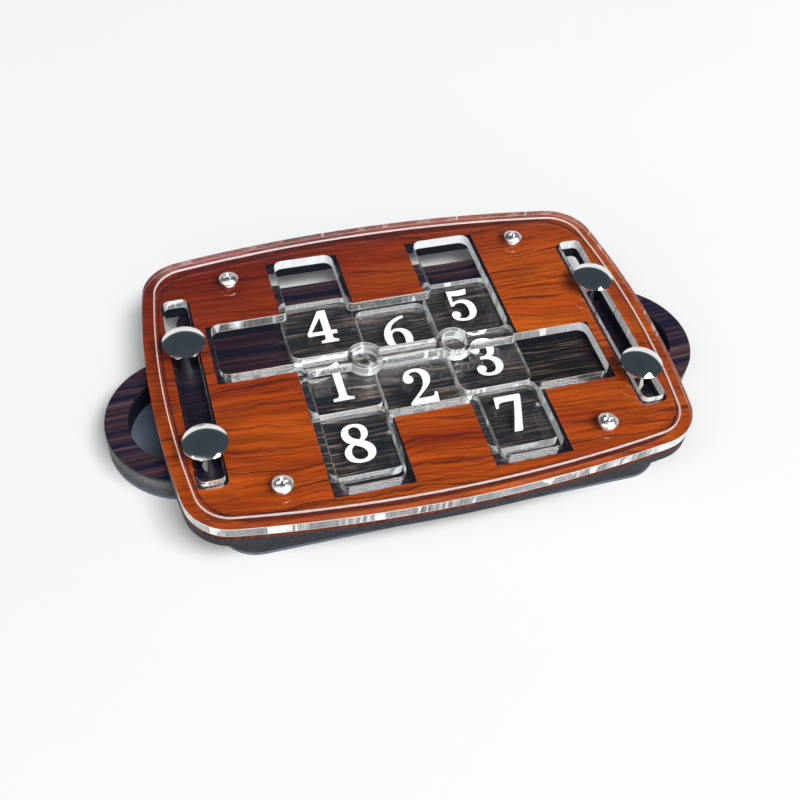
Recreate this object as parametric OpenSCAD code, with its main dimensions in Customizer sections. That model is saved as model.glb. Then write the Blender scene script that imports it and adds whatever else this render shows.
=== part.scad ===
// Sliding tile puzzle.
// Eight clear tiles lie in a stepped tray under a clear cover. The floor of the
// tray is a second board that slides front to back beneath it, moved by its two
// ears and held by four domed knobs that run in the two side slots.
// Origin: centre of the tray outline, on the table. +X right, +Y to the back, +Z up.
// The slider and the tiles are drawn where they stand at rest.

/* [Sheets] */
// Thickness of the clear cover
cover_t = 3; // [2.5:0.1:3.5]
// Thickness of the rosewood facing of the tray
face_t = 1.2; // [0.8:0.1:1.6]
// Thickness of the dark core of the tray
core_t = 2.8; // [2.6:0.1:3.4]
// Thickness of the ebony facing of the slider
floor_t = 1; // [0.6:0.1:1.4]
// Thickness of the core of the slider
slider_t = 5.9; // [5:0.1:6.5]
// Thickness of the slate-grey sheet under the slider
base_t = 1.1; // [0.4:0.1:1.4]
// Air film between the tray and the cover
cover_gap = 0.05; // [0.02:0.01:0.1]

/* [Outline of tray and cover] */
// Half of the width, at the middle of a side
half_w = 68.7; // [68:0.1:70]
// Half of the depth, at the middle of the front
half_d = 49.5; // [49:0.1:51]
// Radius of the bulged left and right sides
side_r = 232; // [220:1:260]
// Radius of the bulged front and back
front_r = 380; // [360:1:420]
// Radius of the four corners
corner_r = 12.6; // [11:0.1:14]

/* [Tile grid] */
// Pitch of the square cells
cell = 20.6; // [20.6:0.1:20.8]
// Width and depth of a tile
tile = 20; // [19.8:0.1:20]
// Thickness of a tile
tile_t = 3; // [2.5:0.1:3.2]
// Radius of the upright corners of a tile
tile_r = 2.5; // [1.5:0.1:3]

/* [Windows of the cover] */
// Overhang of the cover along the sides of an arm
lip_side = 1.9; // [1.2:0.1:2.4]
// Overhang of the cover at the end of an arm
lip_end = 1.2; // [0.8:0.1:1.6]
// Width of the bar between the two windows
bar_w = 3.9; // [3:0.1:5]
// Outer diameter of the ring eyes on the bar
eye_od = 9.4; // [8.6:0.1:10]
// Hole of the ring eyes
eye_id = 7; // [5:0.1:7.4]
// Distance of the ring eyes from the centre line
eye_x = 12.4; // [12:0.1:13]
// Radius of the corners at the ends of the arms
window_r = 2.5; // [1.5:0.1:3]
// Radius of the corners that point into the windows
nose_r = 1.5; // [0.8:0.1:2]

/* [Border line] */
// Distance of the scored line from the edge of the cover
score_in = 3; // [2:0.1:4]
// Width of the scored line
score_w = 0.5; // [0.3:0.1:0.8]
// Depth of the scored line
score_d = 0.4; // [0.2:0.1:0.8]

/* [Slots and knobs] */
// Distance of the slots from the centre line
slot_x = 57.95; // [57.5:0.05:58.5]
// Length of the slots in the cover
slot_l = 61.5; // [60:0.5:62]
// Width of the slots in the cover
slot_w = 6.3; // [6.2:0.1:6.8]
// Radius of the corners of the slots
slot_r = 1.5; // [0.5:0.1:3]
// How much wider the tray slot is on every side
slot_relief = 0.7; // [0.3:0.1:1]
// Distance between the two knobs of one slot
knob_pitch = 33.5; // [32:0.5:34]
// Diameter of a knob head
knob_d = 11.2; // [10:0.1:12]
// Height of the straight rim of a knob head
knob_rim = 0.35; // [0.2:0.05:0.8]
// Height of the taper under the rim
knob_under = 0.8; // [0.4:0.1:1.2]
// Height of the dome above the rim
knob_dome = 1.5; // [1:0.1:2]
// Diameter of the barrel under a knob head
barrel_d = 5.8; // [5:0.1:6]
// Gap between a knob head and the cover
knob_gap = 1.2; // [0.4:0.1:2]

/* [Slider] */
// Width of the slider without its ears
slider_w = 117.2; // [114:0.2:120]
// Depth of the slider
slider_d = 80.7; // [78:0.1:82]
// Radius of the corners of the slider
slider_r = 10; // [8:0.5:12]
// Radius of the ears
ear_r = 20.5; // [20.4:0.1:21]
// Distance of the ear centres from the centre line
ear_x = 60.7; // [60:0.1:61]
// Radius of the finger holes, on the ear centres
finger_r = 14.7; // [14:0.1:15]
// Where the straight inner side of a finger hole lies
finger_x = 64; // [63.5:0.1:65]
// Position of the slider at rest
slider_y = -3.9; // [-9:0.1:9]

/* [Screws] */
// Distance of the cover screws from the centre line
screw_x = 42.2; // [41:0.1:43]
// Distance of the cover screws from the middle line
screw_y = 35.7; // [35:0.1:36]
// Shank diameter of the cover screws
screw_d = 2.5; // [2:0.1:2.8]
// Head diameter of the cover screws
screw_head_d = 5.2; // [4.8:0.1:5.6]
// Shank diameter of the screws in the knob barrels
bolt_d = 3; // [2.5:0.1:3.2]
// Head diameter of the screws in the knob barrels
bolt_head_d = 5.4; // [5:0.1:5.6]

/* [Hidden] */
$fn = 96;

gap = 0.1;                      // running gap above the slider
over = 1;                       // overshoot of cutting tools
z_face = base_t + slider_t;     // underside of the slider's ebony facing
z_floor = z_face + floor_t;     // floor of the tray
z_core = z_floor + gap;         // underside of the tray
z_top = z_core + core_t;        // underside of the rosewood facing
z_wood = z_top + face_t;        // top of the rosewood facing
z_cover = z_wood + cover_gap;   // underside of the cover
z_lid = z_cover + cover_t;      // top of the cover

arc_steps = 8;                  // chords per small corner
corner_steps = 10;              // chords per outline corner
edge_steps = 16;                // chords per bulged side

screw_fit = 0.02;               // radial gap round a screw shank in its hole
screw_deep = 3.4;               // length of a cover screw inside the tray
screw_head_h = 1.5;             // height of a cover screw head
screw_edge = 0.5;               // straight edge of that head
recess_w = 0.7;                 // width of the cross recess
recess_l = 2.8;                 // length of the cross recess
recess_d = 0.9;                 // depth of the cross recess
thread_pitch = 0.7;             // pitch of the ridges on a cover screw
thread_h = 0.18;                // height of those ridges
core_hole_d = screw_d + 2 * (thread_h + screw_fit);   // hole that takes the ridges

bolt_head_h = 1.6;              // height of a slider screw head
bolt_sink = 2;                  // depth of its counterbore
bolt_sink_d = bolt_head_d + 0.6;   // width of that counterbore
bolt_in = 5;                    // length of the screw inside the barrel
barrel_bore_d = bolt_d + 2 * screw_fit;

// Corner circle of the outline: it touches both bulged sides from inside.
side_c = half_w - side_r;       // centre of the side arc on the X axis
front_c = half_d - front_r;     // centre of the front arc on the Y axis
span = norm([side_c, front_c]);
side_in = side_r - corner_r;
front_in = front_r - corner_r;
along = (side_in * side_in - front_in * front_in + span * span) / (2 * span);
across = sqrt(side_in * side_in - along * along);
toward = [-side_c, front_c] / span;
corner_c = [side_c, 0] + along * toward + across * [-toward[1], toward[0]];
side_a = atan2(corner_c[1], corner_c[0] - side_c);
front_a = atan2(corner_c[1] - front_c, corner_c[0]);

// Positions of the tile centres at rest, tile 1 first.
TILES = [[-20.7, -4.05], [-0.2, -10.55], [20.5, -4.65], [-20.7, 16.1],
         [20.5, 15.5], [-0.5, 9.6], [20.5, -24.8], [-20.7, -24.2]];

// Points of an arc from angle a to angle b.
function arc(c, r, a, b, n) =
    [for (i = [0 : n]) c + r * [cos(a + (b - a) * i / n), sin(a + (b - a) * i / n)]];

// One quarter of the outline, moved inwards by inset.
function quarter(inset) =
    concat(arc([side_c, 0], side_r - inset, 0, side_a, edge_steps / 2),
           arc(corner_c, corner_r - inset, side_a, front_a, corner_steps),
           arc([0, front_c], front_r - inset, front_a, 90, edge_steps / 2));

// A point list turned round, and mirrored in X or Y.
function reversed(p) = [for (i = [len(p) - 1 : -1 : 0]) p[i]];
function flip_x(p) = reversed([for (q = p) [-q[0], q[1]]]);
function flip_y(p) = reversed([for (q = p) [q[0], -q[1]]]);

// Drops each point that repeats the one before it.
function clean(p) =
    [for (i = [0 : len(p) - 1]) if (norm(p[i] - p[(i + 1) % len(p)]) > 0.01) p[i]];

function half_outline(inset) = concat(quarter(inset), flip_x(quarter(inset)));
function outline(inset) = clean(concat(half_outline(inset), flip_y(half_outline(inset))));

// Corner number i of a path, rounded to the radius in its third number.
function round_corner(p, i) =
    let (n = len(p),
         q = [p[i][0], p[i][1]],
         a = [p[(i + n - 1) % n][0], p[(i + n - 1) % n][1]] - q,
         b = [p[(i + 1) % n][0], p[(i + 1) % n][1]] - q,
         u = a / norm(a),
         v = b / norm(b),
         r = p[i][2],
         c = q + r * (u + v))
    r == 0 ? [q] : [for (k = [0 : arc_steps])
        c - r * (cos(90 * k / arc_steps) * v + sin(90 * k / arc_steps) * u)];

// A path of right-angled corners [x, y, radius] as a point list.
function rounded(p) = [for (i = [0 : len(p) - 1]) each round_corner(p, i)];

// The upper window; the lower one is the same shape turned half round.
arm_far = 2.5 * cell - lip_end;
arm_out = 1.5 * cell - lip_side;
arm_in = 0.5 * cell + lip_side;
row_top = cell - lip_end;
arm_top = 2 * cell - lip_end;
window = rounded([
    [-arm_far, lip_end, window_r],
    [-arm_out, lip_end, 0],
    [-arm_out, bar_w / 2, 0],
    [arm_out, bar_w / 2, window_r],
    [arm_out, arm_top, window_r],
    [arm_in, arm_top, window_r],
    [arm_in, row_top, nose_r],
    [-arm_in, row_top, nose_r],
    [-arm_in, arm_top, window_r],
    [-arm_out, arm_top, window_r],
    [-arm_out, row_top, nose_r],
    [-arm_far, row_top, window_r]]);

// A box with round upright corners, standing on z = 0.
module rounded_box(w, d, h, r) {
    translate([-w / 2, -d / 2 + r, 0])
        cube([w, d - 2 * r, h]);
    translate([-w / 2 + r, -d / 2, 0])
        cube([w - 2 * r, d, h]);
    for (sx = [-1, 1], sy = [-1, 1])
        translate([sx * (w / 2 - r), sy * (d / 2 - r), 0])
            cylinder(h = h, r = r);
}

// Runs its children at the four cover screws.
module at_screws() {
    for (sx = [-1, 1], sy = [-1, 1])
        translate([sx * screw_x, sy * screw_y, 0])
            children();
}

// Runs its children at the four knobs.
module at_knobs() {
    for (sx = [-1, 1], sy = [-1, 1])
        translate([sx * slot_x, slider_y + sy * knob_pitch / 2, 0])
            children();
}

// Both slots as cutting bodies, grown by extra on every side.
module slots(z, h, extra) {
    for (sx = [-1, 1])
        translate([sx * slot_x, 0, z])
            rounded_box(slot_w + 2 * extra, slot_l + 2 * extra, h, slot_r);
}

// Clear cover with its windows, bar, ring eyes and scored line.
module cover_plate() {
    color([0.85, 0.92, 0.95, 0.35])
    difference() {
        union() {
            difference() {
                translate([0, 0, z_cover])
                    linear_extrude(cover_t)
                        polygon(outline(0));
                for (turn = [0, 180])
                    rotate([0, 0, turn])
                        translate([0, 0, z_cover - over])
                            linear_extrude(cover_t + 2 * over)
                                polygon(window);
            }
            for (sx = [-1, 1])
                translate([sx * eye_x, 0, z_cover])
                    cylinder(h = cover_t, d = eye_od);
        }
        for (sx = [-1, 1])
            translate([sx * eye_x, 0, z_cover - over])
                cylinder(h = cover_t + 2 * over, d = eye_id);
        slots(z_cover - over, cover_t + 2 * over, 0);
        at_screws()
            translate([0, 0, z_cover - over])
                cylinder(h = cover_t + 2 * over, d = core_hole_d);
        difference() {
            translate([0, 0, z_lid - score_d])
                linear_extrude(score_d + over)
                    polygon(outline(score_in));
            translate([0, 0, z_lid - score_d - over])
                linear_extrude(score_d + 3 * over)
                    polygon(outline(score_in + score_w));
        }
    }
}

// The stepped tile track, cut clean through the tray.
module track(z, h) {
    for (turn = [0, 180])
        rotate([0, 0, turn]) {
            translate([-2.5 * cell, 0, z])
                cube([4 * cell, cell, h]);
            for (x = [-1.5 * cell, 0.5 * cell])
                translate([x, 0, z])
                    cube([cell, 2 * cell, h]);
        }
}

// One layer of the tray.
module tray_layer(z, h) {
    difference() {
        translate([0, 0, z])
            linear_extrude(h)
                polygon(outline(0));
        track(z - over, h + 2 * over);
        slots(z - over, h + 2 * over, slot_relief);
        at_screws()
            translate([0, 0, z_cover - screw_deep - screw_fit])
                cylinder(h = screw_deep + over, d = core_hole_d);
    }
}

// Rosewood facing of the tray.
module tray_face() {
    color([0.55, 0.2, 0.07])
    tray_layer(z_top, face_t);
}

// Dark core of the tray.
module tray_core() {
    color([0.12, 0.08, 0.07])
    tray_layer(z_core, core_t);
}

// The slider's outline: a round-cornered board with two ears.
module slider_blank(z, h) {
    translate([0, slider_y, z])
        union() {
            rounded_box(slider_w, slider_d, h, slider_r);
            for (sx = [-1, 1])
                translate([sx * ear_x, 0, 0])
                    cylinder(h = h, r = ear_r);
        }
}

// One layer of the slider with the finger holes and the holes of the knob screws.
module slider_layer(z, h) {
    difference() {
        slider_blank(z, h);
        for (sx = [-1, 1])
            translate([sx * ear_x, slider_y, z - over])
                intersection() {
                    cylinder(h = h + 2 * over, r = finger_r);
                    translate([sx * (finger_x - ear_x + finger_r) - finger_r, -finger_r, 0])
                        cube([2 * finger_r, 2 * finger_r, h + 2 * over]);
                }
        at_knobs()
            translate([0, 0, z - over])
                cylinder(h = h + 2 * over, d = barrel_bore_d);
    }
}

// Ebony facing of the slider.
module slider_face() {
    color([0.13, 0.09, 0.09])
    slider_layer(z_face, floor_t);
}

// Core of the slider, counterbored from below for the screw heads.
module slider_core() {
    color([0.4, 0.38, 0.36])
    difference() {
        slider_layer(base_t, slider_t);
        at_knobs()
            translate([0, 0, base_t - over])
                cylinder(h = bolt_sink + over, d = bolt_sink_d);
    }
}

// Slate-grey sheet that closes the slider from below.
module slider_base() {
    color([0.2, 0.23, 0.28])
    slider_blank(0, base_t);
}

// Clear tile with number n.
module clear_tile(n) {
    color([0.85, 0.9, 0.92, 0.35])
    translate([TILES[n - 1][0], TILES[n - 1][1], z_floor + gap])
        rounded_box(tile, tile, tile_t, tile_r);
}

// Knob: a barrel with a screw bore, under a tapered, rimmed and domed head.
module knob(sx, sy) {
    taper_z = z_lid + knob_gap - z_floor;
    barrel_h = taper_z + knob_under;
    dome_r = (knob_d * knob_d / 4 + knob_dome * knob_dome) / (2 * knob_dome);
    color([0.8, 0.81, 0.83])
    translate([sx * slot_x, slider_y + sy * knob_pitch / 2, z_floor])
        difference() {
            union() {
                cylinder(h = barrel_h + knob_rim / 2, d = barrel_d);
                translate([0, 0, taper_z])
                    cylinder(h = knob_under, d1 = barrel_d, d2 = knob_d);
                translate([0, 0, barrel_h])
                    cylinder(h = knob_rim, d = knob_d);
                intersection() {
                    translate([0, 0, barrel_h + knob_rim + knob_dome - dome_r])
                        sphere(r = dome_r);
                    translate([0, 0, barrel_h + knob_rim / 2])
                        cylinder(h = knob_rim / 2 + knob_dome + over, d = knob_d);
                }
            }
            translate([0, 0, -over])
                cylinder(h = bolt_in + over + screw_fit, d = barrel_bore_d);
        }
}

// Cross recess, cut down from z = 0.
module cross_recess() {
    for (turn = [0, 90])
        rotate([0, 0, turn])
            translate([-recess_l / 2, -recess_w / 2, -recess_d])
                cube([recess_l, recess_w, recess_d + over]);
}

// Screw that holds a knob to the slider, put in from below.
module slider_screw(sx, sy) {
    color([0.66, 0.67, 0.69])
    translate([sx * slot_x, slider_y + sy * knob_pitch / 2, base_t + bolt_sink - bolt_head_h])
        difference() {
            union() {
                cylinder(h = bolt_head_h, d = bolt_head_d);
                cylinder(h = bolt_head_h + z_floor - base_t - bolt_sink + bolt_in, d = bolt_d);
            }
            mirror([0, 0, 1])
                cross_recess();
        }
}

// Pan-head screw through the cover into the tray.
module cover_screw(sx, sy) {
    dome = screw_head_h - screw_edge;
    dome_r = (screw_head_d * screw_head_d / 4 + dome * dome) / (2 * dome);
    ridges = floor((cover_t + screw_deep) / thread_pitch) - 2;
    color([0.72, 0.73, 0.75])
    translate([sx * screw_x, sy * screw_y, z_lid])
        difference() {
            union() {
                intersection() {
                    cylinder(h = screw_head_h + over, d = screw_head_d);
                    translate([0, 0, screw_head_h - dome_r])
                        sphere(r = dome_r);
                }
                translate([0, 0, -cover_t - screw_deep])
                    cylinder(h = cover_t + screw_deep + screw_edge, d = screw_d);
                for (i = [1 : ridges])
                    translate([0, 0, -i * thread_pitch])
                        rotate_extrude()
                            polygon([[0, -thread_h], [screw_d / 2, -thread_h],
                                     [screw_d / 2 + thread_h, 0],
                                     [screw_d / 2, thread_h], [0, thread_h]]);
            }
            translate([0, 0, screw_head_h])
                cross_recess();
        }
}

cover_plate();
tray_face();
tray_core();
slider_face();
slider_core();
slider_base();
clear_tile(1);  // tile_1
clear_tile(2);  // tile_2
clear_tile(3);  // tile_3
clear_tile(4);  // tile_4
clear_tile(5);  // tile_5
clear_tile(6);  // tile_6
clear_tile(7);  // tile_7
clear_tile(8);  // tile_8
knob(-1, 1);  // knob_rear_left
knob(-1, -1);  // knob_front_left
knob(1, 1);  // knob_rear_right
knob(1, -1);  // knob_front_right
slider_screw(-1, 1);  // slider_screw_rear_left
slider_screw(-1, -1);  // slider_screw_front_left
slider_screw(1, 1);  // slider_screw_rear_right
slider_screw(1, -1);  // slider_screw_front_right
cover_screw(-1, 1);  // cover_screw_rear_left
cover_screw(-1, -1);  // cover_screw_front_left
cover_screw(1, 1);  // cover_screw_rear_right
cover_screw(1, -1);  // cover_screw_front_right
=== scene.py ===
import math

import bpy
from mathutils import Matrix, Vector


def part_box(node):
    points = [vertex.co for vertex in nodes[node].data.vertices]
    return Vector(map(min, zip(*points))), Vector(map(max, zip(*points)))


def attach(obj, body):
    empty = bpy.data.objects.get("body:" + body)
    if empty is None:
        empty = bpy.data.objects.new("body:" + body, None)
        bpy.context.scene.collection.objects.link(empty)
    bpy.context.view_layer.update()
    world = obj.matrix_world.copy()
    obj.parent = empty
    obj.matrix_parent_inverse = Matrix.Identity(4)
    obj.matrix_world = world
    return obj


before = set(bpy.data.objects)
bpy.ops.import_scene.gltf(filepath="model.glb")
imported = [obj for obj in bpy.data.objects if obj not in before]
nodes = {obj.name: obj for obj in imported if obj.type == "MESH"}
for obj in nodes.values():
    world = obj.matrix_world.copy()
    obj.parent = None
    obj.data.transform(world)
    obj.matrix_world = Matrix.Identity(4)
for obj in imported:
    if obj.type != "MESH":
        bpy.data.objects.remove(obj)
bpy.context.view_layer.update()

MM = 0.001
scene = bpy.context.scene

# The cover's outline, the score in it and its windows, in mm.
HALF_W, HALF_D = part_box("cover_plate")[1][0] / MM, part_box("cover_plate")[1][1] / MM
SIDE_R, FRONT_R, CORNER_R = 232.0, 380.0, 12.6
SCORE_IN, SCORE_W, SCORE_D = 3.0, 0.5, 0.4
CELL, LIP_SIDE, LIP_END, BAR_W = 20.6, 1.9, 1.2, 3.9
ARM_FAR, ARM_OUT, ARM_IN = 2.5 * CELL - LIP_END, 1.5 * CELL - LIP_SIDE, 0.5 * CELL + LIP_SIDE
ROW_TOP, ARM_TOP = CELL - LIP_END, 2 * CELL - LIP_END
# The score's fill: its gap to the sides, and its gap to the floor and the top.
INK_SIDE, INK_PLAY = 0.11, 0.03
# The shaded band beside the score: its shift, and how far inside the score it lies.
BAND_X, BAND_Y, BAND_IN = 0.80, 0.20, 0.28
# Upright walls beyond these are the outline's, the rest belong to slots and windows.
CUT_X, CUT_Y = 62.3, 42.4
# The slider's ears, in metres like the frame, and how deep their outer rim goes.
EAR_R, EAR_RIM = 20.5 * MM, 3.0 * MM


def top_of(node):
    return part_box(node)[1][2]


def base_of(node):
    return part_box(node)[0][2]


# ---------------------------------------------------------------- node helpers
def set_stops(color_ramp, stops):
    """Puts the stops, each a place with a grey or a colour, on a colour ramp."""
    while len(color_ramp.elements) < len(stops):
        color_ramp.elements.new(0.5)
    for element, (place, colour) in zip(color_ramp.elements, stops):
        element.position = place
        if isinstance(colour, (int, float)):
            colour = (colour, colour, colour)
        element.color = (*colour, 1.0)


class Tree:
    """A material with a short way to add and link its nodes."""

    def __init__(self, name):
        self.mat = bpy.data.materials.new(name)
        self.mat.use_nodes = True
        self.tree = self.mat.node_tree
        self.tree.nodes.clear()
        self.out = self.add("ShaderNodeOutputMaterial")
        self.coord = self.add("ShaderNodeTexCoord").outputs["Object"]

    def add(self, kind, **settings):
        node = self.tree.nodes.new(kind)
        for key, value in settings.items():
            setattr(node, key, value)
        return node

    def put(self, socket, value):
        if isinstance(value, bpy.types.NodeSocket):
            self.tree.links.new(value, socket)
        else:
            socket.default_value = value

    def math(self, op, a, b=0.0, c=None, clamp=False):
        node = self.add("ShaderNodeMath", operation=op, use_clamp=clamp)
        self.put(node.inputs[0], a)
        self.put(node.inputs[1], b)
        if c is not None:
            self.put(node.inputs[2], c)
        return node.outputs[0]

    def length(self, a, b):
        """Length of the flat vector (a, b)."""
        squares = self.math("ADD", self.math("MULTIPLY", a, a), self.math("MULTIPLY", b, b))
        return self.math("SQRT", squares)

    def split(self, vector):
        node = self.add("ShaderNodeSeparateXYZ")
        self.put(node.inputs[0], vector)
        return node.outputs

    def join(self, x, y, z):
        node = self.add("ShaderNodeCombineXYZ")
        self.put(node.inputs[0], x)
        self.put(node.inputs[1], y)
        self.put(node.inputs[2], z)
        return node.outputs[0]

    def stretch(self, vector, scale, shift=(0.0, 0.0, 0.0)):
        node = self.add("ShaderNodeMapping")
        self.put(node.inputs["Vector"], vector)
        node.inputs["Scale"].default_value = scale
        node.inputs["Location"].default_value = shift
        return node.outputs[0]

    def in_mm(self):
        """Object place in mm."""
        return self.stretch(self.coord, (1.0 / MM,) * 3)

    def noise(self, vector, detail=3.0, rough=0.5, distort=0.0):
        node = self.add("ShaderNodeTexNoise")
        self.put(node.inputs["Vector"], vector)
        node.inputs["Scale"].default_value = 1.0
        node.inputs["Detail"].default_value = detail
        node.inputs["Roughness"].default_value = rough
        node.inputs["Distortion"].default_value = distort
        return node.outputs[0]

    def ramp(self, fac, *stops):
        node = self.add("ShaderNodeValToRGB")
        self.put(node.inputs[0], fac)
        set_stops(node.color_ramp, stops)
        return node.outputs[0]

    def mix(self, fac, a, b, how="MIX"):
        node = self.add("ShaderNodeMix", data_type="RGBA", blend_type=how)
        self.put(node.inputs[0], fac)
        for socket, value in ((node.inputs[6], a), (node.inputs[7], b)):
            if isinstance(value, tuple):
                value = (*value, 1.0)
            self.put(socket, value)
        return node.outputs[2]

    def bump(self, height, strength, distance):
        node = self.add("ShaderNodeBump")
        self.put(node.inputs["Height"], height)
        node.inputs["Strength"].default_value = strength
        node.inputs["Distance"].default_value = distance
        return node.outputs[0]

    def shader(self, **values):
        node = self.add("ShaderNodeBsdfPrincipled")
        for key, value in values.items():
            name = key.replace("_", " ")
            if name == "Base Color" and isinstance(value, tuple):
                value = (*value, 1.0)
            self.put(node.inputs[name], value)
        self.put(self.out.inputs["Surface"], node.outputs[0])
        return node


def dress(node, material):
    slots = nodes[node].data.materials
    slots.clear()
    slots.append(material)


# ---------------------------------------------------------------- wood
def flow(t, bend, tilt):
    """Object place in mm, with the grain lines bent and slightly tilted along X."""
    place = t.in_mm()
    x, y, z = t.split(place)
    wave = t.noise(t.stretch(place, (0.022, 0.03, 0.03)), 2.0)
    wave = t.math("MULTIPLY", t.math("SUBTRACT", wave, 0.5), bend)
    y = t.math("ADD", t.math("ADD", y, wave), t.math("MULTIPLY", x, tilt))
    return t.join(x, y, z)


def side_mask(t):
    """1 on upright walls, 0 on flat faces."""
    normal = t.add("ShaderNodeNewGeometry").outputs["Normal"]
    up = t.math("ABSOLUTE", t.split(normal)[2])
    return t.math("LESS_THAN", up, 0.5)


def border_inset(t, x, y):
    """Distance in mm from the cover's outline, inwards."""
    def from_arc(along, across, radius, half):
        run = t.math("ADD", t.math("ABSOLUTE", along), radius - half)
        return t.math("MAXIMUM", t.math("ADD", t.length(run, across), CORNER_R - radius), 0.0)
    side = from_arc(x, y, SIDE_R, HALF_W)
    front = from_arc(y, x, FRONT_R, HALF_D)
    return t.math("SUBTRACT", CORNER_R, t.length(side, front))


def veins(t, u, pitch, broken, gain):
    """Thin dark lines across u, pitch mm apart on average, 1 in their middle."""
    turn = t.math("FRACT", t.math("MULTIPLY", u, 1.0 / pitch))
    near = t.math("ABSOLUTE", t.math("SUBTRACT", turn, 0.5))
    width = t.math("MULTIPLY", t.math("SUBTRACT", broken, 0.40, clamp=True), gain / pitch)
    return t.math("SUBTRACT", 1.0, t.math("DIVIDE", near, t.math("ADD", width, 0.002)), clamp=True)


def rosewood():
    t = Tree("rosewood")
    place = flow(t, 9.0, 0.05)
    gy = t.split(place)[1]
    tone = t.noise(t.stretch(place, (0.012, 0.10, 0.10), (3.1, 0.4, 0.0)), 4.0, 0.55)
    colour = t.ramp(tone,
                    (0.30, (0.145, 0.0150, 0.0014)),
                    (0.42, (0.205, 0.0280, 0.0016)),
                    (0.56, (0.240, 0.0390, 0.0020)),
                    (0.72, (0.280, 0.0540, 0.0034)))
    # broad fibres
    fibre = t.noise(t.stretch(place, (0.05, 1.1, 1.1)), 5.0, 0.62)
    shades = t.ramp(fibre, (0.32, 0.42), (0.50, 0.90), (0.68, 1.25))
    colour = t.mix(0.90, colour, shades, "MULTIPLY")
    # long wavy veins, thick and thin by turns
    wave = t.noise(t.stretch(place, (0.017, 0.022, 0.022), (0.0, 7.3, 0.0)), 2.0, 0.5)
    wiggle = t.noise(t.stretch(place, (0.13, 0.10, 0.10), (2.0, 0.0, 0.0)), 3.0, 0.55)
    u = t.math("ADD", t.math("MULTIPLY_ADD", wave, 13.0, gy), t.math("MULTIPLY", wiggle, 2.6))
    broken = t.noise(t.stretch(place, (0.035, 0.30, 0.30), (5.0, 0.0, 0.0)), 3.0, 0.6)
    thick = veins(t, u, 6.3, broken, 3.4)
    fine = veins(t, t.math("MULTIPLY_ADD", wave, 7.0, u), 1.9, broken, 1.8)
    fade = t.noise(t.stretch(place, (0.020, 0.060, 0.060), (9.0, 4.0, 0.0)), 2.0)
    fade = t.ramp(fade, (0.36, 0.45), (0.54, 1.0))
    dark = t.math("MAXIMUM", t.math("MULTIPLY", thick, 0.88), t.math("MULTIPLY", fine, 0.58))
    dark = t.math("MULTIPLY", dark, fade)
    colour = t.mix(dark, colour, (0.022, 0.0035, 0.0030))
    # fine pores, short dashes along the grain
    pore = t.noise(t.stretch(place, (0.40, 6.0, 6.0)), 2.0, 0.6)
    pore = t.ramp(pore, (0.60, 0.0), (0.72, 1.0))
    colour = t.mix(t.math("MULTIPLY", pore, 0.40), colour, (0.035, 0.006, 0.003))
    # the veneer turns darker and redder towards the rear left, partly its own tone and partly
    # painted shade where less light falls
    x, y = t.split(t.in_mm())[:2]
    slope = t.math("MULTIPLY_ADD", x, -0.35, y)
    slope = t.math("ADD", slope, t.math("MULTIPLY", tone, 14.0))
    heart_and_shade = t.math("MULTIPLY_ADD", slope, 0.022, -0.26, clamp=True)
    colour = t.mix(heart_and_shade, colour, t.mix(1.0, colour, (0.46, 0.28, 1.60), "MULTIPLY"))
    # the score in the cover shades a band of the wood beside it
    inset = border_inset(t, t.math("SUBTRACT", x, BAND_X), t.math("SUBTRACT", y, BAND_Y))
    wide = t.math("MULTIPLY_ADD", t.math("ABSOLUTE", y), 0.12, -4.3, clamp=True)
    aim = t.math("MULTIPLY_ADD", wide, -BAND_IN, SCORE_IN + SCORE_W / 2 + BAND_IN)
    off = t.math("ABSOLUTE", t.math("SUBTRACT", inset, aim))
    off = t.math("DIVIDE", off, t.math("MULTIPLY_ADD", wide, 0.34, 0.30))
    band = t.ramp(t.math("MULTIPLY", off, 0.5), (0.40, 1.0), (0.62, 0.0))
    colour = t.mix(t.math("MULTIPLY", band, 0.80), colour, (0.030, 0.0055, 0.0065))
    # cut edges: scorched in the windows and slots, red-brown on the outline
    wall = side_mask(t)
    outer = t.math("MAXIMUM", t.math("GREATER_THAN", t.math("ABSOLUTE", x), CUT_X),
                   t.math("GREATER_THAN", t.math("ABSOLUTE", y), CUT_Y))
    soot = t.noise(t.stretch(t.coord, (900.0, 900.0, 300.0)), 3.0)
    burnt = t.ramp(soot, (0.3, (0.004, 0.005, 0.010)), (0.7, (0.010, 0.011, 0.018)))
    red = t.ramp(soot, (0.3, (0.060, 0.012, 0.007)), (0.7, (0.170, 0.042, 0.020)))
    colour = t.mix(wall, colour, t.mix(outer, burnt, red))
    rough = t.ramp(fibre, (0.3, 0.62), (0.7, 0.50))
    t.shader(Base_Color=colour, Roughness=rough, Specular_IOR_Level=0.03,
             Normal=t.bump(fibre, 0.25, 0.00012))
    return t.mat


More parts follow.
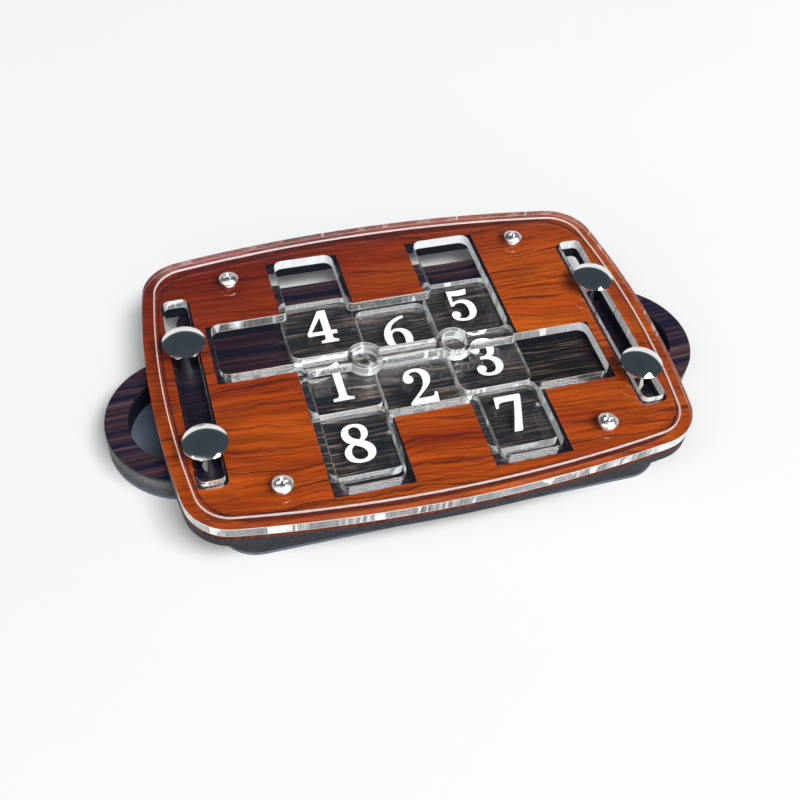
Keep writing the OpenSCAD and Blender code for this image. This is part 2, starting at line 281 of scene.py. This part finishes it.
def ebony():
    """Navy and wine stripes, black with tan streaks around the middle of the sheet."""
    t = Tree("ebony")
    place = flow(t, 5.0, 0.012)
    stripe = t.noise(t.stretch(place, (0.012, 0.70, 0.70), (1.0, 2.0, 0.0)), 4.0, 0.6)
    wine = t.ramp(stripe,
                  (0.36, (0.0060, 0.0095, 0.0300)),
                  (0.45, (0.0110, 0.0110, 0.0300)),
                  (0.52, (0.0440, 0.0220, 0.0310)),
                  (0.62, (0.0800, 0.0420, 0.0500)),
                  (0.76, (0.1300, 0.0850, 0.0850)))
    fine = t.noise(t.stretch(place, (0.05, 3.0, 3.0)), 4.0, 0.6)
    wine = t.mix(0.7, wine, t.ramp(fine, (0.34, 0.35), (0.5, 0.85), (0.68, 1.45)), "MULTIPLY")
    streak = t.noise(t.stretch(place, (0.050, 1.75, 1.75), (4.0, 0.0, 0.0)), 5.0, 0.72)
    tan = t.ramp(streak,
                 (0.40, (0.0015, 0.0040, 0.0080)),
                 (0.51, (0.0080, 0.0085, 0.0110)),
                 (0.57, (0.0420, 0.0300, 0.0240)),
                 (0.66, (0.1900, 0.1320, 0.1000)),
                 (0.78, (0.3700, 0.2800, 0.2250)))
    x, y = t.split(t.in_mm())[:2]
    # the tan streaks fade out towards the front and the left: painted shade, where the tray's walls
    # shade the floor
    left = t.math("MULTIPLY_ADD", x, 0.22, 7.5, clamp=True)
    right = t.math("MULTIPLY_ADD", x, -0.12, 6.4, clamp=True)
    rear = t.math("MULTIPLY_ADD", y, -0.30, 8.2, clamp=True)
    front = t.math("MULTIPLY_ADD", y, 0.40, 15.2, clamp=True)
    middle = t.math("MULTIPLY", t.math("MULTIPLY", left, right), t.math("MULTIPLY", rear, front))
    # painted shade: the sheet is darker under the cover than on the ears
    shade_under_cover = t.math("LESS_THAN", t.math("ABSOLUTE", x), CUT_X)
    wine = t.mix(t.math("MULTIPLY", shade_under_cover, 0.42), wine, (0.004, 0.003, 0.008))
    colour = t.mix(middle, wine, tan)
    pore = t.ramp(t.noise(t.stretch(place, (0.5, 8.0, 8.0)), 2.0, 0.6), (0.60, 0.0), (0.70, 1.0))
    colour = t.mix(t.math("MULTIPLY", pore, 0.5), colour, (0.005, 0.006, 0.010))
    # painted shade: darker still in the slots, which the tray's walls shade
    slot_shade = t.math("COMPARE", t.math("ABSOLUTE", x), 57.5, 5.5)
    colour = t.mix(t.math("MULTIPLY", slot_shade, 0.55), colour, (0.002, 0.003, 0.010))
    wall = side_mask(t)
    colour = t.mix(wall, colour, (0.026, 0.025, 0.028))
    rough = t.ramp(fine, (0.3, 0.52), (0.7, 0.40))
    t.shader(Base_Color=colour, Roughness=rough, Specular_IOR_Level=0.12,
             Normal=t.bump(fine, 0.25, 0.0001))
    return t.mat


def dark_board():
    t = Tree("dark_board")
    speck = t.noise(t.stretch(t.coord, (2500.0, 2500.0, 900.0)), 4.0, 0.65)
    cloud = t.noise(t.stretch(t.coord, (120.0, 120.0, 400.0)), 3.0)
    x, y = t.split(t.in_mm())[:2]
    # painted shade: darker inside the outline, where the cover and the tray shade the board's walls
    inner = t.math("MULTIPLY", t.math("LESS_THAN", t.math("ABSOLUTE", x), CUT_X),
                   t.math("LESS_THAN", t.math("ABSOLUTE", y), CUT_Y))
    colour = t.ramp(speck, (0.30, (0.006, 0.007, 0.011)), (0.75, (0.034, 0.036, 0.046)))
    colour = t.mix(t.math("MULTIPLY", inner, 0.85), colour, (0.0035, 0.0050, 0.0140))
    colour = t.mix(0.6, colour, t.ramp(cloud, (0.3, 0.5), (0.7, 1.3)), "MULTIPLY")
    t.shader(Base_Color=colour, Roughness=t.ramp(speck, (0.3, 0.75), (0.7, 0.55)),
             Specular_IOR_Level=0.3, Normal=t.bump(speck, 0.35, 0.00008))
    return t.mat


def slider_board():
    """Plain pressed board: short fibres, darker where the laser touched it in the finger holes,
    which is partly painted shade.
    """
    t = Tree("slider_board")
    x, y, z = t.split(t.coord)
    low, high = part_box("slider_core")
    ear = t.math("SUBTRACT", t.math("ABSOLUTE", x), high[0] - EAR_R)
    across = t.math("SUBTRACT", y, (low[1] + high[1]) / 2)
    inner = t.math("LESS_THAN", t.length(ear, across), EAR_R - EAR_RIM)
    fibre = t.noise(t.stretch(t.coord, (1400.0, 1400.0, 2600.0)), 5.0, 0.7)
    cloud = t.noise(t.stretch(t.coord, (90.0, 90.0, 160.0)), 4.0, 0.6)
    colour = t.ramp(fibre, (0.28, (0.050, 0.052, 0.054)), (0.5, (0.118, 0.120, 0.121)),
                    (0.75, (0.200, 0.203, 0.199)))
    foot = t.math("MULTIPLY_ADD", z, -2500.0, 11.5, clamp=True)
    colour = t.mix(foot, colour, t.mix(1.0, colour, (0.70, 0.76, 0.86), "MULTIPLY"))
    # painted shade: darker in the middle, under the board
    shade_under_board = t.math("MULTIPLY_ADD", t.math("ABSOLUTE", x), -160.0, 11.2, clamp=True)
    colour = t.mix(t.math("MULTIPLY", shade_under_board, 0.75), colour, (0.020, 0.022, 0.030))
    colour = t.mix(0.9, colour, t.ramp(cloud, (0.30, 0.40), (0.55, 0.95), (0.75, 1.15)), "MULTIPLY")
    # the finger holes' walls: scorched, and painted shade where little light reaches
    scorched_and_shaded = t.ramp(cloud, (0.3, (0.004, 0.006, 0.018)), (0.7, (0.010, 0.014, 0.034)))
    colour = t.mix(inner, colour, scorched_and_shaded)
    t.shader(Base_Color=colour, Roughness=t.ramp(fibre, (0.3, 0.80), (0.7, 0.60)),
             Specular_IOR_Level=0.2, Normal=t.bump(fibre, 0.4, 0.0001))
    return t.mat


def slate_sheet():
    t = Tree("slate_sheet")
    cloud = t.noise(t.stretch(t.coord, (160.0, 160.0, 160.0)), 3.0, 0.5)
    speck = t.noise(t.stretch(t.coord, (5200.0, 5200.0, 5200.0)), 3.0, 0.6)
    colour = t.ramp(cloud, (0.3, (0.085, 0.108, 0.150)), (0.7, (0.120, 0.148, 0.195)))
    colour = t.mix(0.5, colour, t.ramp(speck, (0.3, 0.8), (0.7, 1.15)), "MULTIPLY")
    t.shader(Base_Color=colour, Roughness=t.ramp(speck, (0.3, 0.65), (0.7, 0.50)),
             Specular_IOR_Level=0.3, Normal=t.bump(speck, 0.15, 0.00003))
    return t.mat


# ---------------------------------------------------------------- metal
def chrome():
    t = Tree("chrome")
    smear = t.noise(t.stretch(t.coord, (260.0, 260.0, 260.0)), 4.0, 0.6)
    colour = t.ramp(smear, (0.3, (0.86, 0.86, 0.84)), (0.7, (0.93, 0.93, 0.92)))
    scratch = t.noise(t.stretch(t.coord, (3000.0, 300.0, 3000.0)), 2.0)
    t.shader(Base_Color=colour, Metallic=1.0, Roughness=t.ramp(smear, (0.35, 0.035), (0.75, 0.10)),
             Normal=t.bump(scratch, 0.02, 0.00002))
    return t.mat


def screw_steel():
    t = Tree("screw_steel")
    smear = t.noise(t.stretch(t.coord, (700.0, 700.0, 700.0)), 4.0, 0.6)
    colour = t.ramp(smear, (0.3, (0.74, 0.73, 0.71)), (0.7, (0.92, 0.91, 0.89)))
    t.shader(Base_Color=colour, Metallic=1.0, Roughness=t.ramp(smear, (0.3, 0.24), (0.7, 0.36)),
             Normal=t.bump(smear, 0.08, 0.00005))
    return t.mat


# ---------------------------------------------------------------- acrylic
def near_any(t, value, *places, reach=0.35):
    """1 where the value lies within reach, in mm, of one of the places."""
    hit = 0.0
    for place in places:
        hit = t.math("MAXIMUM", hit, t.math("COMPARE", value, place, reach))
    return hit


def clear_acrylic(name, node, wall_rough, flute, frost, frost_and_highlight_top, frost_and_highlight_low, grooved):
    """Polished sheet. Its laser-cut walls are fluted and frosted, and whiter still along their
    edges, partly frost and partly a painted highlight.
    """
    t = Tree(name)
    low, high = base_of(node) / MM, top_of(node) / MM
    normal = t.add("ShaderNodeNewGeometry").outputs["True Normal"]
    up = t.math("ABSOLUTE", t.split(normal)[2])
    wall = t.math("LESS_THAN", up, 0.97)
    x, y, z = t.split(t.in_mm())
    ripple = t.noise(t.join(t.math("MULTIPLY", x, 5.5), t.math("MULTIPLY", y, 5.5),
                            t.math("MULTIPLY", z, 0.25)), 3.0, 0.6)
    patch = t.noise(t.join(t.math("MULTIPLY", x, 0.22), t.math("MULTIPLY", y, 0.22),
                           t.math("MULTIPLY", z, 0.05)), 2.0, 0.5)
    smudge = t.noise(t.stretch(t.coord, (70.0, 70.0, 70.0)), 4.0, 0.6)
    # the window walls that face the rear are cut cleaner than the rest
    calm = t.math("MAXIMUM", near_any(t, y, -ROW_TOP, -ARM_TOP, BAR_W / 2),
                  t.math("MULTIPLY", near_any(t, y, LIP_END), t.math("LESS_THAN", x, -ARM_OUT)))
    calm = t.math("MULTIPLY_ADD", calm, -0.93, 1.0)
    height = t.math("MULTIPLY", ripple, t.math("MULTIPLY", wall, calm))
    face = t.ramp(smudge, (0.45, 0.0), (0.80, 0.035))
    rough = t.math("MULTIPLY_ADD", t.math("MULTIPLY", wall, calm), wall_rough, face)
    # frost: a base, more towards the rear and the ends, bright patches, and a white line at each
    # edge that is partly frost and partly a painted highlight; the outline's rear wall stays nearly
    # clear
    rear = t.math("MULTIPLY_ADD", y, 0.12, -3.75, clamp=True)
    ends = t.math("MULTIPLY_ADD", x, 0.040, -0.90, clamp=True)
    outline = t.math("LESS_THAN", border_inset(t, x, y), 1.0)
    back = t.math("MULTIPLY", outline, t.math("GREATER_THAN", y, 38.0))
    kept = t.math("MULTIPLY_ADD", back, -0.80, 1.0)
    fore = t.math("MULTIPLY", outline, t.math("LESS_THAN", y, 0.0))
    level = t.math("ADD", t.math("MULTIPLY", rear, 0.75), t.math("MULTIPLY", ends, 0.45))
    level = t.math("MULTIPLY", level, t.math("SUBTRACT", 1.0, outline))
    level = t.math("MULTIPLY_ADD", fore, 0.05, level)
    grooves = t.noise(t.join(t.math("MULTIPLY", x, 1.5), t.math("MULTIPLY", y, 1.5),
                             t.math("MULTIPLY", z, 0.04)), 2.0, 0.5)
    zone = t.noise(t.stretch(t.coord, (65.0, 65.0, 10.0), (3.0, 1.0, 0.0)), 1.0)
    zone = t.ramp(zone, (0.50, 0.15), (0.60, 1.0))
    grooves = t.math("MULTIPLY", t.math("MULTIPLY_ADD", grooves, 2.4, -1.1), zone)
    middle = t.math("LESS_THAN", t.math("ABSOLUTE", y), 5.2)
    smooth = t.math("MULTIPLY_ADD", middle, -0.8, 1.0)
    smooth = t.math("MULTIPLY", t.math("SUBTRACT", 1.0, rear), smooth)
    grooves = t.math("MULTIPLY", grooves, t.math("MULTIPLY", smooth, grooved))
    level = t.math("MAXIMUM", t.math("ADD", level, grooves), 0.0)
    patch = t.ramp(patch, (0.585, 0.0), (0.610, 1.0))
    level = t.math("ADD", level, t.math("MULTIPLY", patch, 0.60))
    level = t.math("ADD", level, t.math("MULTIPLY", t.math("SUBTRACT", ripple, 0.5), 0.35))
    level = t.math("ADD", level, frost, clamp=True)
    level = t.math("MULTIPLY", level, kept)
    bright = near_any(t, x, ARM_OUT, -ARM_IN, ARM_FAR)
    level = t.math("MULTIPLY", t.math("MULTIPLY_ADD", bright, 0.30, level), calm, clamp=True)
    # painted highlight: a white line along the top and the foot of each wall, over its frost
    down = t.math("SUBTRACT", high, z)
    above = t.math("SUBTRACT", z, low)
    edge = t.math("MULTIPLY_ADD", down, -4.0, 4.0 * frost_and_highlight_top, clamp=True)
    foot = t.math("MULTIPLY_ADD", above, -3.0, 3.0 * frost_and_highlight_low, clamp=True)
    edge = t.math("MAXIMUM", edge, t.math("MULTIPLY", foot, kept))
    edge = t.math("MULTIPLY", edge, t.math("MULTIPLY_ADD", calm, 0.5, 0.5))
    level = t.math("MAXIMUM", level, t.math("MULTIPLY", edge, 0.80))
    level = t.math("MULTIPLY", level, wall)
    tint = t.ramp(smudge, (0.3, (0.975, 0.985, 0.985)), (0.7, (0.995, 1.0, 1.0)))
    white = t.ramp(ripple, (0.3, (0.80, 0.87, 0.89)), (0.7, (0.96, 0.98, 0.98)))
    glass = t.shader(Base_Color=t.mix(level, tint, white), Roughness=rough, IOR=1.49,
                     Transmission_Weight=t.math("SUBTRACT", 1.0, level),
                     Normal=t.bump(height, flute, 0.00012))
    clear = t.add("ShaderNodeBsdfTransparent")
    clear.inputs[0].default_value = (0.94, 0.955, 0.955, 1.0)
    either = t.add("ShaderNodeMixShader")
    t.put(either.inputs[0], t.add("ShaderNodeLightPath").outputs["Is Shadow Ray"])
    t.put(either.inputs[1], glass.outputs[0])
    t.put(either.inputs[2], clear.outputs[0])
    t.put(t.out.inputs["Surface"], either.outputs[0])
    return t.mat


def white_ink(name, low, high, speck_scale, warm=(1.0, 1.0, 1.0)):
    """Opaque white fill with fine specks and a slightly uneven sheen."""
    t = Tree(name)
    speck = t.noise(t.stretch(t.coord, (speck_scale, speck_scale, speck_scale)), 4.0, 0.65)
    colour = t.ramp(speck, (0.34, tuple(low * c for c in warm)),
                    (0.55, tuple(high * c for c in warm)))
    t.shader(Base_Color=colour, Roughness=t.ramp(speck, (0.3, 0.62), (0.7, 0.45)),
             Normal=t.bump(speck, 0.3, 0.00003))
    return t.mat


cover_glass = clear_acrylic("clear_cover", "cover_plate", wall_rough=0.06, flute=0.45, frost=0.14,
                            frost_and_highlight_top=0.36, frost_and_highlight_low=0.28, grooved=1.0)
tile_glass = clear_acrylic("clear_tile", "tile_1", wall_rough=0.05, flute=0.20, frost=0.22,
                           frost_and_highlight_top=0.30, frost_and_highlight_low=0.30, grooved=0.12)
numeral_ink = white_ink("numeral_ink", 0.72, 0.93, 3200.0)
line_ink = white_ink("line_ink", 0.44, 0.64, 2200.0, (1.0, 0.80, 0.76))
wood_top = rosewood()
floor_top = ebony()
core = dark_board()
slider_mdf = slider_board()
slate = slate_sheet()
knob_chrome = chrome()
steel = screw_steel()

dress("cover_plate", cover_glass)
dress("tray_face", wood_top)
dress("tray_core", core)
dress("slider_face", floor_top)
dress("slider_core", slider_mdf)
dress("slider_base", slate)
TILE_NAMES = [f"tile_{i}" for i in range(1, 9)]
CORNERS = [f"{end}_{side}" for end in ("rear", "front") for side in ("left", "right")]
for name in TILE_NAMES:
    dress(name, tile_glass)
for corner in CORNERS:
    dress(f"knob_{corner}", knob_chrome)
    dress(f"cover_screw_{corner}", steel)
    dress(f"slider_screw_{corner}", steel)


def soften(node, width):
    """Breaks the sharp edges of a CAD node."""
    obj = nodes[node]
    flat = obj.modifiers.new("merge_flats", "DECIMATE")
    flat.decimate_type = "DISSOLVE"
    flat.angle_limit = math.radians(0.5)
    bevel = obj.modifiers.new("edge_break", "BEVEL")
    bevel.width = width
    bevel.segments = 2
    bevel.limit_method = "ANGLE"
    bevel.angle_limit = math.radians(40)
    bevel.harden_normals = False


soften("cover_plate", 0.18 * MM)
for name in TILE_NAMES:
    soften(name, 0.2 * MM)
for corner in CORNERS:
    soften(f"knob_{corner}", 0.1 * MM)
soften("slider_face", 0.12 * MM)


# ---------------------------------------------------------------- border line
# Two bulged sides, two bulged ends and four corner arcs that touch them from
# inside. The white line fills the score in the cover.


def quarter(inset):
    """Points of one quarter of the outline, moved in by inset."""
    side, front = Vector((HALF_W - SIDE_R, 0)), Vector((0, HALF_D - FRONT_R))
    line = front - side
    r1, r2 = SIDE_R - CORNER_R, FRONT_R - CORNER_R
    along = (r1 * r1 - r2 * r2 + line.length_squared) / (2 * line.length)
    across = math.sqrt(r1 * r1 - along * along)
    unit = line.normalized()
    options = [side + along * unit + s * across * Vector((-unit[1], unit[0])) for s in (1, -1)]
    corner = max(options, key=lambda c: c[0] + c[1])
    a1 = math.atan2(corner[1], corner[0] - side[0])
    a2 = math.atan2(corner[1] - front[1], corner[0])

    def arc(centre, r, a, b, n):
        angles = [a + (b - a) * i / n for i in range(n)]
        return [centre + r * Vector((math.cos(t), math.sin(t))) for t in angles]
    return (arc(side, SIDE_R - inset, 0, a1, 40) + arc(corner, CORNER_R - inset, a1, a2, 24)
            + arc(front, FRONT_R - inset, a2, math.pi / 2, 60))


def outline(inset):
    q = quarter(inset)
    top = FRONT_R - inset + HALF_D - FRONT_R
    upper = q + [Vector((0, top))] + [Vector((-p[0], p[1])) for p in reversed(q[1:])]
    lower = [Vector((p[0], -p[1])) for p in reversed(upper[1:])]
    return upper + [Vector((inset - HALF_W, 0))] + lower


def ring(name, inner, outer, z0, z1):
    """A closed ring of rectangular section between two outlines."""
    a, b = outline(inner), outline(outer)
    n = len(a)
    verts = [(p[0] * MM, p[1] * MM, z) for z in (z0, z1) for line in (a, b) for p in line]
    faces = []
    for i in range(n):
        j = (i + 1) % n
        a0, b0, a1, b1 = i, n + i, 2 * n + i, 3 * n + i
        c0, d0, c1, d1 = j, n + j, 2 * n + j, 3 * n + j
        faces += [(a0, b0, d0, c0), (a1, c1, d1, b1), (a0, c0, c1, a1), (b0, b1, d1, d0)]
    mesh = bpy.data.meshes.new(name)
    mesh.from_pydata(verts, [], faces)
    mesh.validate()
    obj = bpy.data.objects.new(name, mesh)
    scene.collection.objects.link(obj)
    return obj


lid = top_of("cover_plate")
border = ring("border_line", SCORE_IN + INK_SIDE, SCORE_IN + SCORE_W - INK_SIDE,
              lid - (SCORE_D - INK_PLAY) * MM, lid - INK_PLAY * MM)
border.data.materials.append(line_ink)
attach(border, "board")

# ---------------------------------------------------------------- numerals
# Outlines on a grid 100 units high: each contour is a start point, then curves
# (two handles and an end) or straight lines (an end).
GLYPHS = {
    1: (46, [[(4, 0), (50, 0), (50, 7), (40, 8, 36, 10, 36, 18), (36, 100), (29, 100),
              (22, 94, 13, 90, 3, 89), (3, 82), (12, 83, 19, 82, 19, 76), (19, 18),
              (19, 10, 14, 8, 4, 7)]]),
    2: (68, [[(4, 73), (4, 89, 16, 101, 34, 101), (53, 101, 64, 90, 64, 74),
              (64, 60, 57, 50, 42, 36), (34, 28.5, 27, 22, 21, 16), (50, 16),
              (57, 16, 60, 18, 62, 27), (68, 27), (65, 0), (2, 0), (2, 6),
              (14, 18, 26, 29, 34, 39), (43, 50, 46, 59, 46, 71), (46, 85, 41, 93, 32, 93),
              (25, 93, 20, 89, 19, 84), (24, 82, 26, 78, 26, 73), (26, 66, 21, 62, 15, 62),
              (8, 62, 4, 66, 4, 73)]]),
    3: (65, [[(5, 79), (6, 92, 17, 101, 33, 101), (50, 101, 60, 92, 60, 78),
              (60, 67, 54, 58, 44, 54), (57, 51, 65, 42, 65, 29), (65, 11, 51, -1, 31, -1),
              (13, -1, 2, 8, 2, 20), (2, 27, 7, 32, 13, 32), (19, 32, 24, 28, 24, 22),
              (24, 17, 21, 13, 16, 12), (19, 9, 24, 7, 29, 7), (40, 7, 47, 15, 47, 28),
              (47, 42, 39, 49, 26, 49), (20, 49), (20, 57), (25, 57), (37, 57, 43, 64, 43, 77),
              (43, 88, 38, 94, 30, 94), (25, 94, 21, 92, 19, 89), (24, 87, 26, 83, 26, 79),
              (26, 73, 21, 69, 15.5, 69), (9.5, 69, 5, 73, 5, 79)]]),
    4: (69, [[(38, 101), (56, 101), (56, 36), (69, 36), (69, 25), (56, 25), (56, 18),
              (56, 10, 59, 8, 67, 7), (67, 0), (27, 0), (27, 7), (36, 8, 39, 10, 39, 18),
              (39, 25), (1, 25), (1, 34)],
             [(39, 36), (11, 36), (39, 80)]]),
    5: (65, [[(11, 100), (26, 97, 44, 97, 60, 100), (56, 83), (44, 80, 31, 80, 19, 83),
              (17, 61), (23, 65, 30, 67, 37, 67), (54, 67, 65, 55, 65, 35),
              (65, 13, 51, -1, 31, -1), (13, -1, 2, 8, 2, 20), (2, 27, 7, 32, 13, 32),
              (19, 32, 24, 28, 24, 22), (24, 17, 21, 13, 16, 12), (19, 9, 24, 7, 29, 7),
              (41, 7, 47, 17, 47, 34), (47, 50, 41, 58, 31, 58), (25, 58, 19, 55, 15, 49),
              (9, 50)]]),
    6: (66, [[(60, 101), (28, 95, 2, 71, 2, 37), (2, 13, 15, -1, 34, -1),
              (53, -1, 66, 12, 66, 32), (66, 51, 54, 63, 38, 63), (31, 63, 26, 61, 21, 57),
              (25, 76, 38, 88, 61, 94)],
             [(34, 55), (43, 55, 48, 47, 48, 31), (48, 15, 43, 7, 35, 7),
              (25, 7, 20, 17, 20, 34), (20, 48, 25, 55, 34, 55)]]),
    7: (68, [[(4, 68), (10, 68), (12, 79, 16, 83, 26, 83), (50, 83), (43, 58, 32, 26, 22, 0),
              (41, 0), (50, 28, 60, 62, 68, 92), (68, 99), (8, 99)]]),
    8: (67, [[(34, 101), (51, 101, 62, 92, 62, 77), (62, 67, 57, 59, 47, 54),
              (60, 48, 67, 39, 67, 27), (67, 9, 53, -1, 33, -1), (14, -1, 1, 8, 1, 25),
              (1, 36, 8, 45, 20, 50), (10, 55, 5, 63, 5, 74), (5, 91, 17, 101, 34, 101)],
             [(34, 93), (26, 93, 21, 87, 21, 79), (21, 69, 27, 63, 40, 58),
              (45, 63, 47, 69, 47, 77), (47, 87, 42, 93, 34, 93)],
             [(27, 46), (19, 40, 16, 34, 16, 26), (16, 14, 23, 7, 33, 7),
              (43, 7, 49, 13, 49, 21), (49, 31, 43, 38, 27, 46)]]),
}


def glyph_curve(name, contours, width, height, thick):
    """A filled flat curve of the glyph, centred on its own middle, turned into a mesh."""
    data = bpy.data.curves.new(name, "CURVE")
    data.dimensions = "2D"
    data.fill_mode = "BOTH"
    data.resolution_u = 8
    data.extrude = thick / 2
    unit = height / 100

    def spot(xy):
        return Vector(((xy[0] - width / 2) * unit, (xy[1] - 50) * unit, 0.0))

    def third(start, end):
        return tuple(a + (b - a) / 3 for a, b in zip(start, end))

    for contour in contours:
        anchors = [{"at": contour[0][-2:]}]
        for step in contour[1:]:
            here = {"at": step[-2:]}
            if len(step) == 6:
                anchors[-1]["out"] = step[0:2]
                here["in"] = step[2:4]
            anchors.append(here)
        if math.dist(anchors[0]["at"], anchors[-1]["at"]) < 0.01:
            anchors[0]["in"] = anchors.pop().get("in")
        spline = data.splines.new("BEZIER")
        spline.bezier_points.add(len(anchors) - 1)
        spline.use_cyclic_u = True
        count = len(anchors)
        for i, (point, anchor) in enumerate(zip(spline.bezier_points, anchors)):
            before, after = anchors[i - 1]["at"], anchors[(i + 1) % count]["at"]
            at = anchor["at"]
            point.co = spot(at)
            point.handle_left_type = point.handle_right_type = "FREE"
            point.handle_left = spot(anchor.get("in") or third(at, before))
            point.handle_right = spot(anchor.get("out") or third(at, after))
    curve = bpy.data.objects.new(name + "_curve", data)
    scene.collection.objects.link(curve)
    bpy.context.view_layer.update()
    depsgraph = bpy.context.evaluated_depsgraph_get()
    mesh = bpy.data.meshes.new_from_object(curve.evaluated_get(depsgraph))
    bpy.data.objects.remove(curve)
    obj = bpy.data.objects.new(name, mesh)
    scene.collection.objects.link(obj)
    return obj


NUMERAL_H = 12.0 * MM
NUMERAL_T = 0.06 * MM
NUMERAL_LIFT = 0.02 * MM
# Small shifts of each numeral from its tile's centre, in mm.
SHIFTS = {1: (-0.4, -0.5), 2: (0.0, 0.3), 3: (-0.2, -0.2), 4: (0.0, 0.1),
          5: (-0.6, 0.5), 6: (-0.3, 0.0), 7: (0.2, 0.3), 8: (-0.2, -0.6)}
for number, (width, contours) in GLYPHS.items():
    tile = f"tile_{number}"
    low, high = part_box(tile)
    obj = glyph_curve(f"numeral_{number}", contours, width, NUMERAL_H, NUMERAL_T)
    dx, dy = SHIFTS[number]
    centre = Vector(((low[0] + high[0]) / 2 + dx * MM, (low[1] + high[1]) / 2 + dy * MM,
                     high[2] + NUMERAL_LIFT + NUMERAL_T / 2))
    obj.data.transform(Matrix.Translation(centre))
    obj.data.materials.clear()
    obj.data.materials.append(numeral_ink)
    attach(obj, tile)

# ---------------------------------------------------------------- camera
AZIMUTH, ELEVATION, ROLL = -20.6006, 50.0555, 5.8403
DISTANCE = 269.76 * MM
LENS, SENSOR = 47.554, 36.0
TARGET = Vector((-7.74 * MM, -16.85 * MM, top_of("cover_plate")))
azimuth, elevation, roll = (math.radians(a) for a in (AZIMUTH, ELEVATION, ROLL))
away = Vector((math.sin(azimuth) * math.cos(elevation),
               -math.cos(azimuth) * math.cos(elevation), math.sin(elevation)))
right = (-away).cross(Vector((0, 0, 1))).normalized()
up = right.cross(-away)
right_r = math.cos(roll) * right + math.sin(roll) * up
up_r = -math.sin(roll) * right + math.cos(roll) * up
camera_data = bpy.data.cameras.new("camera")
camera_data.lens = LENS
camera_data.sensor_width = SENSOR
camera_data.clip_start = 0.01
camera_data.clip_end = 20.0
camera = bpy.data.objects.new("camera", camera_data)
scene.collection.objects.link(camera)
turn = Matrix((right_r, up_r, away)).transposed().to_4x4()
camera.matrix_world = Matrix.Translation(TARGET + DISTANCE * away) @ turn
scene.camera = camera

# ---------------------------------------------------------------- floor and light
FLOOR_HALF = 3.0
FLOOR_GAP = 0.02 * MM
floor_mesh = bpy.data.meshes.new("floor")
floor_mesh.from_pydata([(-FLOOR_HALF, -FLOOR_HALF, 0), (FLOOR_HALF, -FLOOR_HALF, 0),
                        (FLOOR_HALF, FLOOR_HALF, 0), (-FLOOR_HALF, FLOOR_HALF, 0)],
                       [], [(0, 1, 2, 3)])
floor = bpy.data.objects.new("floor", floor_mesh)
floor.location.z = -FLOOR_GAP
scene.collection.objects.link(floor)
t = Tree("floor_paper")
grain = t.noise(t.stretch(t.coord, (4.0, 4.0, 4.0)), 2.0)
far = t.math("MULTIPLY_ADD", t.split(t.coord)[1], 1.0, 0.45, clamp=True)
near_tone = t.ramp(grain, (0.3, 0.645), (0.7, 0.66))
far_tone = t.ramp(grain, (0.3, 0.755), (0.7, 0.77))
t.shader(Base_Color=t.mix(far, near_tone, far_tone), Roughness=0.9, Specular_IOR_Level=0.1)
floor_mesh.materials.append(t.mat)


def softbox(name, place, aim, size, power):
    data = bpy.data.lights.new(name, "AREA")
    data.shape = "RECTANGLE"
    data.size, data.size_y = size
    data.energy = power
    lamp = bpy.data.objects.new(name, data)
    scene.collection.objects.link(lamp)
    lamp.location = place
    lamp.rotation_euler = (Vector(aim) - Vector(place)).to_track_quat("-Z", "Y").to_euler()


softbox("key", (0.81, -1.35, 2.43), (0, 0, 0), (2.1, 1.05), 98.0)
softbox("fill", (-1.62, -0.90, 2.16), (0, 0, 0), (1.6, 1.05), 8.0)

world = bpy.data.worlds.new("studio")
world.use_nodes = True
scene.world = world
wt = world.node_tree
wt.nodes.clear()
w_out = wt.nodes.new("ShaderNodeOutputWorld")
w_bg = wt.nodes.new("ShaderNodeBackground")
w_coord = wt.nodes.new("ShaderNodeTexCoord")
w_least = wt.nodes.new("ShaderNodeMath")
w_ramp = wt.nodes.new("ShaderNodeValToRGB")
w_least.operation = "MINIMUM"
for i, axis in enumerate([(0.0, 0.0, 1.0), (0.2885, 0.767, 0.573)]):
    w_dot = wt.nodes.new("ShaderNodeVectorMath")
    w_dot.operation = "DOT_PRODUCT"
    w_dot.inputs[1].default_value = axis
    wt.links.new(w_coord.outputs["Generated"], w_dot.inputs[0])
    wt.links.new(w_dot.outputs["Value"], w_least.inputs[i])
wt.links.new(w_least.outputs[0], w_ramp.inputs[0])
wt.links.new(w_ramp.outputs[0], w_bg.inputs[0])
wt.links.new(w_bg.outputs[0], w_out.inputs[0])
# a white room with a dark lens over the rear, from side to side, which the flat
# faces and the domes mirror
set_stops(w_ramp.color_ramp, [(0.0, 0.86), (0.255, 0.90), (0.305, (0.15, 0.17, 0.18)),
                              (0.38, (0.045, 0.062, 0.075)), (1.0, (0.040, 0.052, 0.062))])
w_bg.inputs[1].default_value = 1.0

scene.view_settings.view_transform = "Standard"
